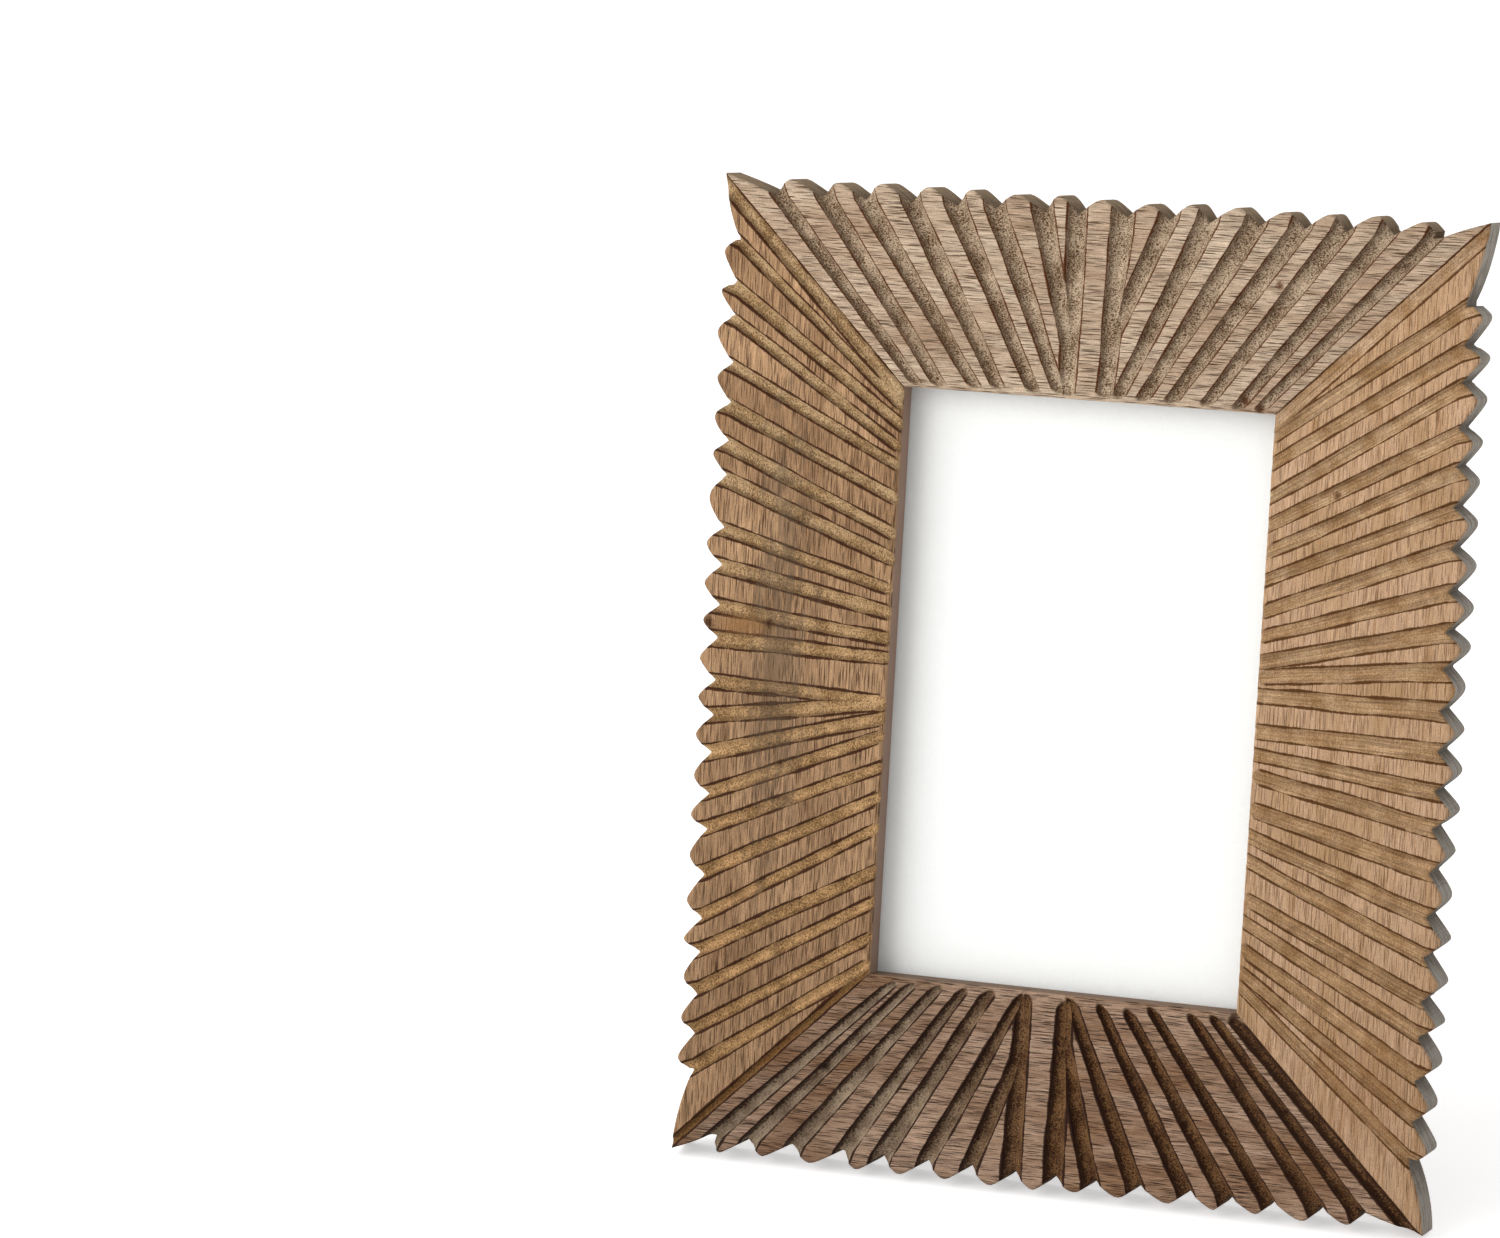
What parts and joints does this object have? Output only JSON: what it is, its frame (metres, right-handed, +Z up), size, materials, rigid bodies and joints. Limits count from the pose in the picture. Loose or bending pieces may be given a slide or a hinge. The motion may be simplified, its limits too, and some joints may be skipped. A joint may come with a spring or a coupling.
{
  "type": "picture frame",
  "caption": "Carved wooden picture frame with fanned flutes and a saw-toothed edge, glazed, with a backing board on turn buttons and a folding easel leg.",
  "frame": {"origin": "on the table, under the middle of the standing frame's bounding box", "axes": "+Z up, -Y out of the picture side, +X to the right as the picture is looked at; the frame leans back 10 degrees on its open easel leg"},
  "size_m": [0.197, 0.0706, 0.2488],
  "materials": {
    "top_wood": "waxed, open pores",
    "bottom_wood": "waxed, open pores",
    "left_wood": "waxed, open pores",
    "right_wood": "waxed, open pores",
    "glass": "clear float glass",
    "paper": "matt, blank",
    "hardboard": "smooth hardboard",
    "zinc_steel": "zinc plated"
  },
  "bodies": {
    "frame": {"top_rail": "top_wood", "bottom_rail": "bottom_wood", "left_rail": "left_wood", "right_rail": "right_wood", "corner_v_nails": "zinc_steel", "glass_pane": "glass", "picture_insert": "paper", "backing_board": "hardboard", "hinge_plate": "zinc_steel", "hinge_pin": "zinc_steel", "hinge_plate_rivets": "zinc_steel", "turn_button_screws": "zinc_steel"},
    "easel": {"easel_leg": "hardboard", "hinge_leaf": "zinc_steel", "hinge_leaf_rivets": "zinc_steel"},
    "button_upper_left": {"turn_button_upper_left": "zinc_steel"},
    "button_lower_left": {"turn_button_lower_left": "zinc_steel"},
    "button_upper_right": {"turn_button_upper_right": "zinc_steel"},
    "button_lower_right": {"turn_button_lower_right": "zinc_steel"}
  },
  "joints": [
    {"name": "easel_fold", "type": "hinge", "parent": "frame", "child": "easel", "pos_m": [0, 0.00746, 0.16236], "axis": [-1, 0, 0], "range_deg": [0, 19]},
    {"name": "upper_left_turn", "type": "hinge", "parent": "frame", "child": "button_upper_left", "pos_m": [-0.0575, 0.00651, 0.16963], "axis": [0, 0.9848, -0.1736], "continuous": true},
    {"name": "lower_left_turn", "type": "hinge", "parent": "frame", "child": "button_lower_left", "pos_m": [-0.0575, -0.00982, 0.07706], "axis": [0, 0.9848, -0.1736], "continuous": true},
    {"name": "upper_right_turn", "type": "hinge", "parent": "frame", "child": "button_upper_right", "pos_m": [0.0575, 0.00651, 0.16963], "axis": [0, 0.9848, -0.1736], "continuous": true},
    {"name": "lower_right_turn", "type": "hinge", "parent": "frame", "child": "button_lower_right", "pos_m": [0.0575, -0.00982, 0.07706], "axis": [0, 0.9848, -0.1736], "continuous": true}
  ]
}
